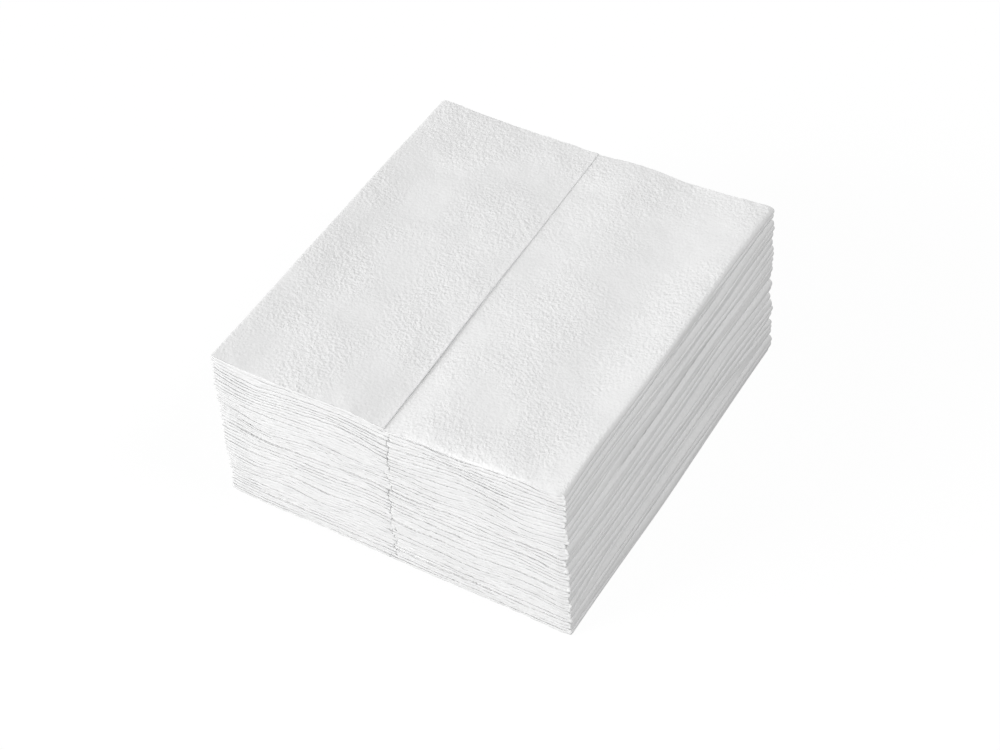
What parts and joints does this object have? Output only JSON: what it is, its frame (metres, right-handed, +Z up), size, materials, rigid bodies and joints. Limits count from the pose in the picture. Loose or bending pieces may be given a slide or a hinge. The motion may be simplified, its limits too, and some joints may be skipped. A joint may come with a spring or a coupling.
{
  "type": "stack of folded nonwoven wipes",
  "caption": "Block-shaped stack of lofty white nonwoven wipes, each a sheet with its side flaps folded in to meet at a centre seam, ready to lift off one by one.",
  "frame": {"origin": "centre of the stack's footprint, on the surface that it stands on", "axes": "+Z up through the stack, Y along the folds and the centre seam, X from fold to fold; the cut ends face -Y and +Y"},
  "size_m": [0.1636, 0.1816, 0.0824],
  "materials": {
    "nonwoven": "matte"
  },
  "bodies": {
    "root": {"wipe_01": "nonwoven", "wipe_02": "nonwoven", "wipe_03": "nonwoven", "wipe_04": "nonwoven", "wipe_05": "nonwoven", "wipe_06": "nonwoven", "wipe_07": "nonwoven", "wipe_08": "nonwoven", "wipe_09": "nonwoven", "wipe_10": "nonwoven", "wipe_11": "nonwoven", "wipe_12": "nonwoven", "wipe_13": "nonwoven", "wipe_14": "nonwoven", "wipe_15": "nonwoven", "wipe_16": "nonwoven", "wipe_17": "nonwoven", "wipe_18": "nonwoven", "wipe_19": "nonwoven", "wipe_20": "nonwoven", "wipe_21": "nonwoven", "wipe_22": "nonwoven", "wipe_23": "nonwoven", "wipe_24": "nonwoven", "wipe_25": "nonwoven"}
  },
  "joints": []
}
